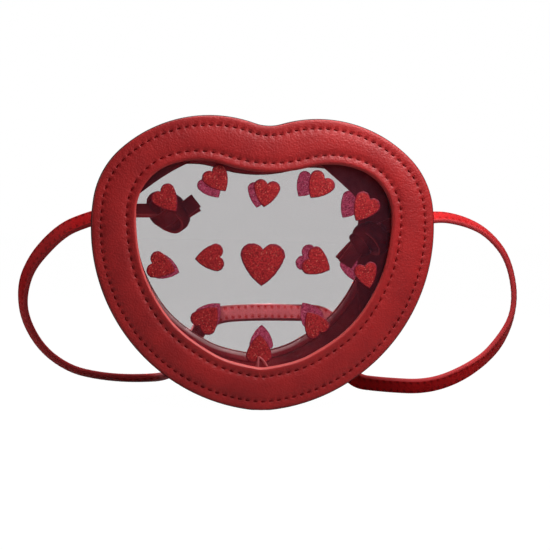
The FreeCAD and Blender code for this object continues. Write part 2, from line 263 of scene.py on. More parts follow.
def curveLine(points, resolution):
    # points of a smooth curve with the given control points
    curve = bpy.data.curves.new("routeLine", "CURVE")
    curve.dimensions = "3D"
    spline = curve.splines.new("NURBS")
    spline.points.add(len(points) - 1)
    for point, spot in zip(spline.points, points):
        point.co = (*spot, 1.0)
    spline.order_u = 3
    spline.use_endpoint_u = True
    spline.resolution_u = resolution
    holder = bpy.data.objects.new("routeLine", curve)
    bpy.context.collection.objects.link(holder)
    bpy.context.view_layer.update()
    mesh = bpy.data.meshes.new_from_object(holder)
    line = [point.co.copy() for point in mesh.vertices]
    bpy.data.meshes.remove(mesh)
    bpy.data.objects.remove(holder)
    return line


def evenLine(line, count):
    # count + 1 points evenly along a line of points
    lengths = [(b - a).length for a, b in zip(line, line[1:])]
    total = sum(lengths)
    points, done, number = [], 0.0, 0
    for step in range(count + 1):
        goal = total * step / count
        while number < len(lengths) - 1 and done + lengths[number] < goal:
            done += lengths[number]
            number += 1
        points.append(line[number].lerp(line[number + 1], (goal - done) / lengths[number]))
    return points, total


def between(table, share):
    # a value from a table of (share, value), eased from row to row
    for (low, before), (high, after) in zip(table, table[1:]):
        if share <= high:
            part = (share - low) / (high - low)
            part = part * part * (3 - 2 * part)
            return before + (after - before) * part
    return table[-1][1]


# Heart outlines, as arcs of (x, z, radius, start, end, bulge) that run anticlockwise from the tip

panelHeart = {
    "span": 190.0, "height": 163.0, "base": 0.0, "tip": 40.0, "tipHalf": 6.0,
    "shoulder": 46.0, "turn": 46.6, "top": 73.5, "cleft": 25.0,
}
windowHeart = {
    "span": 143.2, "height": 116.8, "base": 21.7, "tip": 13.0, "tipHalf": 12.7,
    "shoulder": 28.5, "turn": 70.0, "top": 46.3, "cleft": 82.0,
}
faceDepth = 35.0  # from the middle of the purse to the face of its leather rings
sheetDepth = 31.6  # to the outer face of the clear sheets
panels = ((-1, "front"), (1, "back"))  # side of the middle, and name


def bearing(start, end):
    return math.degrees(math.atan2(end.y - start.y, end.x - start.x))


def heartArcs(heart):
    lean = math.radians(heart["turn"])
    wider = heart["top"] - heart["shoulder"]
    crownZ = heart["base"] + heart["height"] - heart["top"]
    side = Vector((heart["span"] / 2 - heart["shoulder"], crownZ + wider * math.sin(lean)))
    crown = Vector((side.x - wider * math.cos(lean), crownZ))
    dip = Vector((0.0, crownZ + math.sqrt((heart["cleft"] + heart["top"]) ** 2 - crown.x**2)))
    out = Vector((math.sin(math.radians(heart["tipHalf"])), -math.cos(math.radians(heart["tipHalf"]))))
    foot = Vector((0.0, heart["base"] + heart["tip"])) + out * heart["tip"]
    reach = foot - side
    flank = (reach.length_squared - heart["shoulder"] ** 2) / (2 * (reach.dot(out) - heart["shoulder"]))
    hip = foot - out * flank
    low = heart["tipHalf"] - 90
    waist = bearing(hip, side)
    rise = bearing(crown, dip)
    arcs = {
        "tip": (0.0, heart["base"] + heart["tip"], heart["tip"], -90.0, low, 1),
        "flank": (hip.x, hip.y, flank, low, waist, 1),
        "shoulder": (side.x, side.y, heart["shoulder"], waist, heart["turn"], 1),
        "top": (crown.x, crown.y, heart["top"], heart["turn"], rise, 1),
        "cleft": (dip.x, dip.y, heart["cleft"], rise - 180, -rise, -1),
    }
    for name in ("top", "shoulder", "flank", "tip"):
        x, z, radius, start, end, bulge = arcs[name]
        arcs["left " + name] = (-x, z, radius, 180 - end, 180 - start, bulge)
    return arcs


def evenSpots(arcs, count, inset=0.0):
    # count + 1 places along a run of arcs, evenly apart at that inset
    lengths, spots = [], []
    for _, _, radius, start, end, bulge in arcs:
        lengths.append(abs(math.radians(end - start)) * (radius - bulge * inset))
    for step in range(count + 1):
        left = sum(lengths) * step / count
        number = 0
        while number < len(arcs) - 1 and left > lengths[number]:
            left -= lengths[number]
            number += 1
        start, end = arcs[number][3:5]
        spots.append((arcs[number], start + (end - start) * left / lengths[number]))
    return spots, sum(lengths)


def spotAt(spot, inset):
    (x, z, radius, _, _, bulge), angle = spot
    turn = math.radians(angle)
    reach = radius - bulge * inset
    return x + reach * math.cos(turn), z + reach * math.sin(turn)


def spotOut(spot):
    turn = math.radians(spot[1])
    return spot[0][5] * Vector((math.cos(turn), 0.0, math.sin(turn)))


panelArcs = heartArcs(panelHeart)  # the arcs stand in the order in which they go round
windowArcs = heartArcs(windowHeart)
panelRound, windowRound = list(panelArcs.values()), list(windowArcs.values())
print("outlines: panel and window hearts,", len(panelArcs), "arcs each")


# Materials

def newMaterial(name, **values):
    material = bpy.data.materials.new(name)
    material.use_nodes = True
    shader = material.node_tree.nodes["Principled BSDF"]
    for socket, value in values.items():
        shader.inputs[socket.replace("_", " ")].default_value = value
    return material, material.node_tree, shader


def texture(tree, kind, where, **values):
    node = tree.nodes.new("ShaderNodeTex" + kind)
    for key, value in values.items():
        if key in node.inputs:
            node.inputs[key].default_value = value
        else:
            setattr(node, key, value)
    tree.links.new(where, node.inputs["Vector"])
    return node


def objectPlace(tree):
    return tree.nodes.new("ShaderNodeTexCoord").outputs["Object"]


# the colour mark: painted shade in dents above 0, wear and painted highlight below 0
def toneMarkOf(tree):
    node = tree.nodes.new("ShaderNodeAttribute")
    node.attribute_name = "toneMark"
    return node.outputs["Fac"]


def mixColour(tree, factor, first, second):
    node = tree.nodes.new("ShaderNodeMix")
    node.data_type = "RGBA"
    for socket, value in ((node.inputs[0], factor), (node.inputs[6], first), (node.inputs[7], second)):
        if isinstance(value, bpy.types.NodeSocket):
            tree.links.new(value, socket)
        else:
            socket.default_value = value
    return node.outputs[2]


def ranged(tree, value, low, high, fromLow=0.0, fromHigh=1.0):
    node = tree.nodes.new("ShaderNodeMapRange")
    for key, number in (("From Min", fromLow), ("From Max", fromHigh), ("To Min", low), ("To Max", high)):
        node.inputs[key].default_value = number
    tree.links.new(value, node.inputs["Value"])
    return node.outputs[0]


def bumped(tree, shader, heights):
    # stacks (height, strength, distance) bumps on the shader's normal
    last = None
    for height, strength, distance in heights:
        node = tree.nodes.new("ShaderNodeBump")
        node.inputs["Strength"].default_value = strength
        node.inputs["Distance"].default_value = distance * mm
        tree.links.new(height, node.inputs["Height"])
        if last:
            tree.links.new(last, node.inputs["Normal"])
        last = node.outputs["Normal"]
    tree.links.new(last, shader.inputs["Normal"])


leatherLook = {
    "bright": (0.42, 0.009, 0.010, 1.0),
    "deep": (0.33, 0.005, 0.007, 1.0),
    # painted shade: the dark that stitch dents and the insides of the slits get where shade falls in them
    "hole": (0.10, 0.002, 0.003, 1.0),
    "rubbed": (0.79, 0.12, 0.11, 1.0),  # worn edges, and painted highlight on edges that face the light
    "patches": 55.0,  # slow colour changes, per metre
    "patchSpread": (0.35, 0.65),
    "pebbles": 1050.0,  # grain, per metre
    "pebbleDepth": -0.22,
    "crease": (0.35, 0.45, 0.9),  # most share of the deep colour, and where it starts and ends in a pebble
    "pores": 3400.0,
    "poreDepth": 0.08,
    "poreShare": 0.5,  # of the grain's strength
    "poreSpread": (0.3, 0.7),
    "roughness": (0.43, 0.57),
}


def leatherMaterial(name, grain=0.85, gloss=0.45, **changes):
    look = dict(leatherLook, **changes)
    material, tree, shader = newMaterial(name, Specular_IOR_Level=gloss)
    where = objectPlace(tree)
    cloud = texture(tree, "Noise", where, Scale=look["patches"], Detail=4.0).outputs["Fac"]
    pebble = texture(tree, "Voronoi", where, Scale=look["pebbles"], feature="SMOOTH_F1").outputs["Distance"]
    pore = texture(tree, "Noise", where, Scale=look["pores"], Detail=2.0).outputs["Fac"]
    colour = mixColour(tree, ranged(tree, cloud, 0, 1, *look["patchSpread"]), look["deep"], look["bright"])
    most, start, end = look["crease"]
    colour = mixColour(tree, ranged(tree, pebble, 0, most, start, end), colour, look["deep"])
    # the mark paints shade into dents and, below 0, wear and a painted highlight onto edges
    mark = toneMarkOf(tree)
    colour = mixColour(tree, mark, colour, look["hole"])
    colour = mixColour(tree, ranged(tree, mark, 0, 1, 0, -1), colour, look["rubbed"])
    tree.links.new(colour, shader.inputs["Base Color"])
    rough = ranged(tree, pore, *look["roughness"], *look["poreSpread"])
    tree.links.new(rough, shader.inputs["Roughness"])
    pores = (pore, grain * look["poreShare"], look["poreDepth"])
    bumped(tree, shader, [(pebble, grain, look["pebbleDepth"]), pores])
    return material


redLeather = leatherMaterial("redLeather")
strapLeather = leatherMaterial(
    "strapLeather", 0.6, 0.05,
    bright=(0.53, 0.010, 0.012, 1.0), deep=(0.43, 0.007, 0.009, 1.0), rubbed=(0.74, 0.25, 0.27, 1.0),
)
edgePaint = leatherMaterial(
    "edgePaint", 0.12, 0.12,
    bright=(0.055, 0.006, 0.007, 1.0), deep=(0.03, 0.003, 0.004, 1.0), pebbles=500.0,
)
# thread of the leather's red, painted dark for the shade it lies in at the bottom of its dents
redThread = leatherMaterial(
    "redThread", 0.5, 0.05,
    bright=(0.19, 0.004, 0.006, 1.0), deep=(0.10, 0.002, 0.003, 1.0), pebbles=2600.0,
)
knotLeather = leatherMaterial(
    "knotLeather", 0.6, 0.25,
    bright=(0.46, 0.012, 0.018, 1.0), deep=(0.22, 0.005, 0.009, 1.0), rubbed=(0.78, 0.10, 0.11, 1.0),
)
# the lip and the board are much lighter than the rings' leather: painted light for the light falling inside
# the purse
turnedLip = leatherMaterial(
    "turnedLip", 0.6, 0.2,
    bright=(0.80, 0.15, 0.18, 1.0), deep=(0.55, 0.07, 0.09, 1.0), rubbed=(0.95, 0.62, 0.62, 1.0),
)
ringBacking = leatherMaterial(
    "ringBacking", 0.25, 0.2,
    bright=(0.60, 0.07, 0.085, 1.0), deep=(0.34, 0.03, 0.04, 1.0), pebbles=420.0,
)


fleckedLooks = {  # flecks per metre with their detail; bumps are strength and depth
    "wineLining": {
        "deep": (0.38, 0.034, 0.046, 1.0), "bright": (0.64, 0.085, 0.100, 1.0),
        "flecks": (120.0, 5.0), "spread": (0.3, 0.7), "fleckBump": (0.4, 0.8),
        "ribs": "YZ", "ribScale": 75.0, "ribWaver": 0.6, "ribBump": (0.2, 0.1),
        "shader": {"Roughness": 0.7, "Sheen_Weight": 0.25, "Sheen_Roughness": 0.4},
    },
    "zipTape": {
        "deep": (0.16, 0.006, 0.009, 1.0), "bright": (0.34, 0.014, 0.018, 1.0),
        "flecks": (2600.0, 2.0), "spread": (0.0, 1.0), "fleckBump": (0.4, 0.08),
        "ribs": "Y", "ribScale": 70.0, "ribWaver": 0.0, "ribBump": (0.5, 0.15),
        "shader": {"Roughness": 0.8, "Sheen_Weight": 0.2},
    },
    "zipCoil": {
        "deep": (0.20, 0.008, 0.010, 1.0), "bright": (0.36, 0.016, 0.02, 1.0),
        "flecks": (900.0, 3.0), "spread": (0.0, 1.0), "fleckBump": (0.15, 0.05),
        "ribs": "", "shader": {"Roughness": 0.4},
    },
    "paleGold": {
        "deep": (0.70, 0.50, 0.24, 1.0), "bright": (0.86, 0.68, 0.38, 1.0),
        "flecks": (700.0, 4.0), "spread": (0.0, 1.0), "fleckBump": (0.08, 0.03), "roughness": (0.26, 0.44),
        "ribs": "", "shader": {"Metallic": 1.0},
    },
}


def fleckedMaterial(name):
    # two tones in flecks, with ribs along the named axes
    look = fleckedLooks[name]
    material, tree, shader = newMaterial(name, **look["shader"])
    where = objectPlace(tree)
    scale, detail = look["flecks"]
    fleck = texture(tree, "Noise", where, Scale=scale, Detail=detail).outputs["Fac"]
    colour = mixColour(tree, ranged(tree, fleck, 0, 1, *look["spread"]), look["deep"], look["bright"])
    tree.links.new(colour, shader.inputs["Base Color"])
    if "roughness" in look:
        tree.links.new(ranged(tree, fleck, *look["roughness"]), shader.inputs["Roughness"])
    heights = []
    for way in look["ribs"]:
        rib = texture(
            tree, "Wave", where, Scale=look["ribScale"], bands_direction=way, Distortion=look["ribWaver"])
        heights.append((rib.outputs["Fac"], *look["ribBump"]))
    bumped(tree, shader, heights + [(fleck, *look["fleckBump"])])
    return material


wineLining, zipTape, zipCoil, paleGold = (fleckedMaterial(name) for name in fleckedLooks)


sheetLook = {
    "Base_Color": (0.070, 0.026, 0.042, 1.0), "Alpha": 0.18, "Roughness": 0.08, "Specular_IOR_Level": 0.3,
}
sheetWave = {"scale": 28.0, "bump": (0.25, 3.0)}
# painted highlight: the pleat's folds are pink and nearly opaque where the clear sheet would catch the light
pleatLook = {"Base_Color": (0.55, 0.10, 0.11, 1.0), "Alpha": 0.85, "Roughness": 0.5}


def sheetMaterial():
    material, tree, shader = newMaterial("clearSheet", **sheetLook)
    wave = texture(tree, "Noise", objectPlace(tree), Scale=sheetWave["scale"], Detail=1.0)
    bumped(tree, shader, [(wave.outputs["Fac"], *sheetWave["bump"])])
    return material


clearSheet = sheetMaterial()
pleatSheet = newMaterial("pleatSheet", **pleatLook)[0]


glitterLook = {
    "flakes": 1900.0,  # per metre
    "face": [(0.20, 0.006, 0.010, 1.0), (0.52, 0.026, 0.030, 1.0), (0.80, 0.20, 0.15, 1.0)],
    "reverse": [(0.21, 0.013, 0.040, 1.0), (0.59, 0.078, 0.155, 1.0), (0.78, 0.30, 0.42, 1.0)],
    "toneSpread": (0.1, 0.8),  # from the first tone to the second
    "sparks": (0.6, 0.93, 0.99),  # painted glints: most share of the pale third tone, and the flakes that have it
    "rim": (0.16, 0.008, 0.030, 1.0),
    "roughness": (0.3, 0.6),
    "bump": (0.3, 0.08),
    "paintedGlow": 1.05,  # painted glow: emission on the film's reverse that stands in for daylight coming through it
}


def glitterMaterial(name, tones, paintedGlow=0.0):
    material, tree, shader = newMaterial(name, Metallic=0.1, Specular_IOR_Level=0.25)
    flake = texture(tree, "Voronoi", objectPlace(tree), Scale=glitterLook["flakes"])
    shade = tree.nodes.new("ShaderNodeSeparateColor")
    tree.links.new(flake.outputs["Color"], shade.inputs[0])
    tone, spark, height = shade.outputs
    colour = mixColour(tree, ranged(tree, tone, 0, 1, *glitterLook["toneSpread"]), tones[0], tones[1])
    most, start, end = glitterLook["sparks"]
    colour = mixColour(tree, ranged(tree, spark, 0, most, start, end), colour, tones[2])
    colour = mixColour(tree, toneMarkOf(tree), colour, glitterLook["rim"])
    tree.links.new(colour, shader.inputs["Base Color"])
    tree.links.new(ranged(tree, height, *glitterLook["roughness"]), shader.inputs["Roughness"])
    bumped(tree, shader, [(height, *glitterLook["bump"])])
    # painted glow: the reverse emits its own colour, though it is no lamp
    if paintedGlow:
        tree.links.new(colour, shader.inputs["Emission Color"])
        shader.inputs["Emission Strength"].default_value = paintedGlow
    return material


redGlitter = glitterMaterial("redGlitter", glitterLook["face"])
plumGlitter = glitterMaterial("plumGlitter", glitterLook["reverse"], glitterLook["paintedGlow"])
print("materials:", len(bpy.data.materials))


# Stitches, pressed into the leather and as thread

stitchPlan = {
    "share": 0.6,  # of the way from stitch to stitch that is pressed in
    "raised": 0.5,  # share of the dent by which the leather rises between two stitches
    "length": 3.0,
    "radius": 0.52,
    "sunk": 0.25,
    "steps": 20,  # into which a stitch is parted to find its middle
}


def stitchPress(way):
    # pressed in along a stitch, a little raised between two stitches
    share = stitchPlan["share"]
    if way < share:
        return math.sin(math.pi * way / share)
    return -stitchPlan["raised"] * math.sin(math.pi * (way - share) / (1 - share))


def threadMaster():
    bpy.ops.object.select_all(action="DESELECT")
    bpy.ops.mesh.primitive_uv_sphere_add(segments=6, ring_count=6, radius=1.0)
    master = bpy.context.object
    half = Vector((stitchPlan["radius"], stitchPlan["radius"], stitchPlan["length"] / 2)) * mm
    master.data.transform(Matrix.Diagonal((*half, 1.0)))
    bpy.ops.object.shade_smooth()
    return master


def threadRow(name, spots, inset, stitches, depth, side):
    turns = []
    middle = round(stitchPlan["share"] / 2 * stitchPlan["steps"])
    for number in range(stitches):
        spot = spots[number * stitchPlan["steps"] + middle]
        x, z = spotAt(spot, inset)
        along = spotOut(spot).cross(Vector((0.0, 1.0, 0.0)))
        turn = along.to_track_quat("Z", "Y").to_matrix().to_4x4()
        turns.append(Matrix.Translation(Vector((x, side * (faceDepth - depth), z)) * mm) @ turn)
    row = copiesOf(threadMaster(), turns, name)
    return dressed(row, "bag", "red_leather", redThread)


# Strap, along the same route as its solid

strapPlan = {
    "route": [
        (-80.2, 0, 109.4), (-102.3, 0, 103.1), (-117.4, 7, 94.2), (-134.7, 18, 73.1), (-138.4, 30, 48.8),
        (-128.3, 40, 25.3), (-110.8, 45, 11.1), (-92, 46.5, 6.4), (-70.1, 45.5, 5.1), (-44.9, 47, 6.8),
        (-35.7, 46, 27.6), (-25, 44.5, 45.5), (0.3, 43.5, 47.9), (31.2, 43.5, 48.1), (49.9, 44, 47.8),
        (60.5, 44, 27.9), (64, 37.5, 6.4), (83.6, 26.5, 5.6), (109.3, 19.5, 5.6), (132.7, 21, 14),
        (152.8, 22, 29.3), (164, 19.5, 55), (156.8, 13.5, 84.7), (140.4, 7, 101.7), (122.4, 2, 109.2),
        (102.5, 0, 111.4), (80.2, 0, 105.8),
    ],
    "resolution": 24,
    "slot": (-86.9, 0.0, 107.5),
    "length": 610.5,
    "width": 11.0,
    "thickness": 3.2,
    "twist": [  # share of the length, tilt of the width from level towards the outside of the loop
        (0.0, 42), (0.08, 42), (0.12, 32), (0.16, 22), (0.22, 20), (0.27, 21), (0.34, 24), (0.39, 60),
        (0.44, 118), (0.53, 118), (0.59, 60), (0.64, 58), (0.71, 58), (0.76, 44), (0.81, 22), (0.90, 21),
        (0.95, 26), (1.0, 42),
    ],
    "stitch": 4.1,
    "stitchFrom": 2.1,  # from the strap's edge
    "stepsPerStitch": 8,
    "dent": 0.34,
    # lighter rims: wear and a painted highlight on the strap's edges
    "holeShade": 0.8,
    "edgeWearAndSheen": 0.15,
    "rubbed": [  # share of the length, and a painted sheen that stands in for the light on the strap's arch, pale in its middle
        (0.0, 0.0), (0.32, 0.0), (0.35, 0.8), (0.39, 0.6), (0.43, 0.45), (0.55, 0.45), (0.60, 0.0),
        (1.0, 0.0),
    ],
}
sectionPlan = {
    "edge": 0.42,  # depth of the rounded edge, in thicknesses
    "edgeTurns": (30, 65, 115, 150),
    "groove": 0.6,  # half width of a stitch row's groove
    "press": 1.2,  # from a stitch row to where its press ends
    "middle": 0.35,  # shares of the way from the strap's middle to a stitch row, or to its edge
    "plainMiddle": 0.5,
}


def flatSection(width, thickness, seam=None, wearAndSheen=0.0):
    # (across, thick, press) points round a flat strap with rounded edges; press is below 0 on the edges,
    # which are worn and given a painted highlight
    edge = sectionPlan["edge"] * thickness
    inner = width / 2 - edge
    rows = [inner, inner * sectionPlan["plainMiddle"]]
    if seam:
        row, groove = width / 2 - seam, sectionPlan["groove"]
        rows = [inner, row + groove, row, row - groove, row * sectionPlan["middle"]]
    half = []
    for across in rows + [-across for across in rows[::-1]]:
        press = 0.0
        if seam:
            press = max(0.0, 1 - abs(abs(across) - (width / 2 - seam)) / sectionPlan["press"])
        half.append((across, thickness / 2, press))
    for turn in sectionPlan["edgeTurns"]:
        angle = math.radians(90 + turn)
        half.append((-inner + edge * math.cos(angle), thickness / 2 * math.sin(angle), -wearAndSheen))
    return half + [(-across, -thick, press) for across, thick, press in half]


def bandAlong(name, line, section, wide, dentAt=None, sheenAt=None):
    # sweeps a section along a line of points; wide gives the direction of its width at each point
    count = len(line) - 1
    frames = []
    for number in range(len(line)):
        ahead = line[min(number + 1, count)] - line[max(number - 1, 0)]
        ahead.normalize()
        across = wide(number, ahead)
        across = (across - ahead * across.dot(ahead)).normalized()
        frames.append((across, ahead.cross(across)))

    def place(column, row):
        across, thick, press = section[row % len(section)]
        wideWay, thickWay = frames[column]
        dent = press * dentAt(column) if dentAt and press > 0 else 0.0
        thick -= math.copysign(strapPlan["dent"] * dent, thick)
        spot = line[column] + wideWay * across + thickWay * thick
        # the mark: painted shade in the stitch dents above 0, wear and painted highlight on the edges below
        # 0, less the painted sheen along the strap
        mark = press if press < 0 else max(0.0, dent) * strapPlan["holeShade"]
        return spot.x, spot.y, spot.z, mark - sheenAt(column) if sheenAt else mark

    return gridPiece(name, count, len(section), place, fillEnds=True)


def makeStrap():
    route = curveLine([Vector(spot) for spot in strapPlan["route"]], strapPlan["resolution"])
    stitches = round(strapPlan["length"] / strapPlan["stitch"])
    perStitch = strapPlan["stepsPerStitch"]
    steps = stitches * perStitch
    line, total = evenLine(route, steps)
    level = Vector((0.0, 1.0, 0.0))

    def wide(number, ahead):
        flat = (level - ahead * ahead.dot(level)).normalized()
        tilt = math.radians(between(strapPlan["twist"], number / steps))
        return flat * math.cos(tilt) + flat.cross(ahead) * math.sin(tilt)

    section = flatSection(
        strapPlan["width"], strapPlan["thickness"], strapPlan["stitchFrom"], strapPlan["edgeWearAndSheen"])
    strap = bandAlong(
        "strapBand", line, section, wide, lambda number: stitchPress(number % perStitch / perStitch),
        lambda number: between(strapPlan["rubbed"], number / steps),
    )
    dressed(strap, "bag", "red_leather", strapLeather, "strap")
    print("strap:", round(total, 1), "mm,", stitches, "stitches a row")
    return strap, [spot * mm for spot in line]


strap, strapLine = makeStrap()


# Stitched welts round the slits that the strap goes through

weltPlan = {
    "slit": (6.4, 2.4),  # half sizes
    "stitches": 14,
    "stepsPerStitch": 8,
    "stitchOut": 1.6,  # of the stitch row, from the slit's edge
    "dent": 0.2,
    "rows": [  # out from the slit's edge, inset from the panel's outline, mark (1 on its stitch row, 0.9 painted shade inside the slit, below 0 a paler rim)
        (-0.3, 9.2, 0.9), (0.0, 8.4, 0.9), (0.1, 8.0, -0.2), (0.5, 7.75, -0.2), (1.2, 7.7, 0), (1.6, 7.8, 1),
        (2.0, 7.7, 0), (2.7, 7.75, 0), (3.1, 8.0, -0.2), (3.2, 8.4, 0), (3.2, 9.2, 0),
    ],
}


def makeWelt(name, side):
    arcX, arcZ, radius = panelArcs["shoulder"][:3]
    tilt = math.radians(strapPlan["twist"][0][1])
    halfWide = weltPlan["slit"][1]
    run = weltPlan["slit"][0] - halfWide
    bend = math.pi * (halfWide + weltPlan["stitchOut"])
    perStitch = weltPlan["stepsPerStitch"]
    columns = weltPlan["stitches"] * perStitch

    def place(column, row):
        out, inset, mark = weltPlan["rows"][row]
        column %= columns
        if mark == 1:
            mark = max(0.0, stitchPress(column % perStitch / perStitch))
        done = column / columns * (4 * run + 2 * bend)
        flip = 1 if done < 2 * run + bend else -1
        done -= 0 if flip > 0 else 2 * run + bend
        turn = math.pi / 2 - max(0.0, done - 2 * run) / bend * math.pi
        along = flip * (min(done, 2 * run) - run + (halfWide + out) * math.cos(turn))
        wide = flip * (halfWide + out) * math.sin(turn)
        y = along * math.cos(tilt) - wide * math.sin(tilt)
        z = strapPlan["slot"][2] + along * math.sin(tilt) + wide * math.cos(tilt)
        reach = radius - inset - weltPlan["dent"] * max(0.0, mark)
        return side * (arcX + math.sqrt(reach**2 - (z - arcZ) ** 2)), y, z, mark

    welt = gridPiece(name, columns, len(weltPlan["rows"]) - 1, place)
    return dressed(welt, "bag", "red_leather", redLeather)


makeWelt("slotWeltLeft", -1)
makeWelt("slotWeltRight", 1)
print("welts: two, with", weltPlan["stitches"], "stitches each")


# Leather rings of the two panels, with their stitch rows

ringPlan = {
    "columns": 976,
    "outerStitches": 122,
    "innerStitches": 94,
    "stitchInset": 5.0,  # of the stitch rows, from either edge
    "dent": 0.5,
    "groove": 0.75,  # depth of a dent's floor behind the face
    "holeFall": 1.5,  # how fast the painted shade of a dent fades to its edge
    "leastWear": 0.15,
    "highlightWay": Vector((0.35, 0.0, 0.94)),  # edges that face this way, up towards the lamps, get the most painted highlight
    "ease": [  # share of the way round from the tip, and how far the opening is cut outside its outline there
        (0.0, -2.2), (0.07, 0.0), (0.14, 1.25), (0.20, 0.9), (0.27, 0.0), (0.5, 0.0),
    ],
    "rows": {  # inset from an outline, depth behind the face, share of a stitch's dent or, below 0, of wear and painted highlight
        "panel": [
            (0.0, 2.0, 0), (0.0, 0.9, 0), (0.2, 0.4, 0), (0.7, 0.12, 0), (1.8, 0.0, 0), (3.4, 0.05, 0.05),
            (4.45, 0.16, 0.35), (5.0, 0.24, 1.0), (5.55, 0.12, 0.35), (6.7, -0.15, 0.05), (8.4, -0.4, 0),
            (10.2, -0.55, 0),
        ],
        "window": [
            (-8.6, -0.55, 0), (-7.2, -0.36, 0), (-6.0, -0.02, 0.05), (-5.5, 0.1, 0.35), (-5.0, 0.2, 1.0),
            (-4.5, 0.08, 0.35), (-3.6, -0.2, 0.05), (-2.2, -0.5, 0), (-1.2, -0.5, 0), (-1.0, -0.44, -0.1),
            (-0.5, 0.05, -1.0), (-0.08, 0.46, -1.0), (0.02, 0.62, -0.8), (0.05, 1.6, -0.8),
            (0.05, 2.6, -0.8), (-0.2, 3.3, 0), (-1.0, 3.3, 0), (-1.05, 2.0, 0),
        ],
    },
}


def easedSpots(count):
    # the opening as it is cut, blunter at its tip and fuller at its flanks
    eased = []
    plain, _ = evenSpots(windowRound, count, -ringPlan["stitchInset"])
    for step, ((x, z, radius, start, end, bulge), angle) in enumerate(plain):
        ease = between(ringPlan["ease"], min(step, count - step) / count)
        eased.append(((x, z, radius + bulge * ease, start, end, bulge), angle))
    return eased


def bothRounds(columns, inset=0.0):
    return {"panel": evenSpots(panelRound, columns, inset)[0], "window": easedSpots(columns)}


def rowsOf(outlines):
    return [(outline, *row) for outline, rows in outlines.items() for row in rows]


# how far an edge faces up to the lamps: the share of its painted highlight
def highlightShare(spot):
    return max(0.0, -spotOut(spot).dot(ringPlan["highlightWay"]))


def makeRing(name, side, node):
    columns, rows = ringPlan["columns"], rowsOf(ringPlan["rows"])
    spots = bothRounds(columns, ringPlan["stitchInset"])
    stitches = {"panel": ringPlan["outerStitches"], "window": ringPlan["innerStitches"]}
    least = ringPlan["leastWear"]

    def place(column, row):
        outline, inset, depth, share = rows[row % len(rows)]
        column %= columns
        spot = spots[outline][column]
        x, z = spotAt(spot, inset)
        press = max(0.0, share) * stitchPress(column * stitches[outline] / columns % 1.0)
        mark = max(0.0, press) ** ringPlan["holeFall"]
        # below 0: a little wear all round, and a painted highlight where the edge faces up to the light
        if share < 0:
            mark = share * (least + (1 - least) * highlightShare(spot))
        return x, side * (faceDepth - depth - ringPlan["dent"] * press), z, mark

    ring = gridPiece(name, columns, len(rows), place)
    return dressed(ring, "bag", "red_leather", redLeather, node)


for side, label in panels:
    makeRing(label + "Ring", side, label + "_ring")
    outer, inner, inset = ringPlan["outerStitches"], ringPlan["innerStitches"], ringPlan["stitchInset"]
    threadDepth = ringPlan["groove"] + stitchPlan["sunk"] - stitchPlan["radius"]
    spots, _ = evenSpots(panelRound, outer * stitchPlan["steps"], inset)
    threadRow(label + "OuterStitches", spots, inset, outer, threadDepth, side)
    spots = easedSpots(inner * stitchPlan["steps"])
    threadRow(label + "InnerStitches", spots, -inset, inner, threadDepth, side)
print("rings: front and back, with", ringPlan["outerStitches"] + ringPlan["innerStitches"], "stitches each")


# Painted edges over the layers of each panel and, inside, a turned-in lip and the board past its stitches

trimPlan = {  # columns, and each row's inset from an outline, depth from the middle of the purse and share of painted highlight, most where an edge faces up
    "Edge": (520, {"panel": [
        (0.35, 34.25, 0), (0.0, 34.25, 0), (-0.3, 33.9, 0), (-0.45, 33.0, 0), (-0.5, 32.0, 0),
        (-0.45, 30.8, 0), (-0.3, 30.0, 0), (0.0, 29.65, 0), (0.35, 29.65, 0),
    ]}),
    "Lip": (400, {"window": [
        (-0.5, 31.15, 1), (-0.6, 30.7, 1), (-1.9, 30.5, 1), (-2.8, 30.5, 0), (-4.8, 30.6, 0),
        (-5.0, 31.15, 0),
    ]}),
    "Board": (400, {
        "window": [(-5.1, 32.9, 0), (-5.1, 32.0, 0), (-5.7, 31.72, 0), (-8.5, 31.72, 0)],
        "panel": [(9.0, 31.72, 0), (0.6, 31.72, 0), (0.6, 32.9, 0)],
    }),
}


def makeTrim(label, kind, side):
    columns, outlines = trimPlan[kind]
    rows, spots = rowsOf(outlines), bothRounds(columns)

    def place(column, row):
        outline, inset, depth, wearAndSheen = rows[row % len(rows)]
        spot = spots[outline][column % columns]
        x, z = spotAt(spot, inset)
        # the mark is a painted highlight on the lip where it faces up to the light
        return x, side * depth, max(0.0, z), -wearAndSheen * highlightShare(spot)  # flat where it stands

    return gridPiece(label + kind, columns, len(rows), place)


for side, label in panels:
    dressed(makeTrim(label, "Edge", side), "bag", "red_leather", edgePaint)
print("edges: two painted rims")


# Clear sheets and their glitter hearts

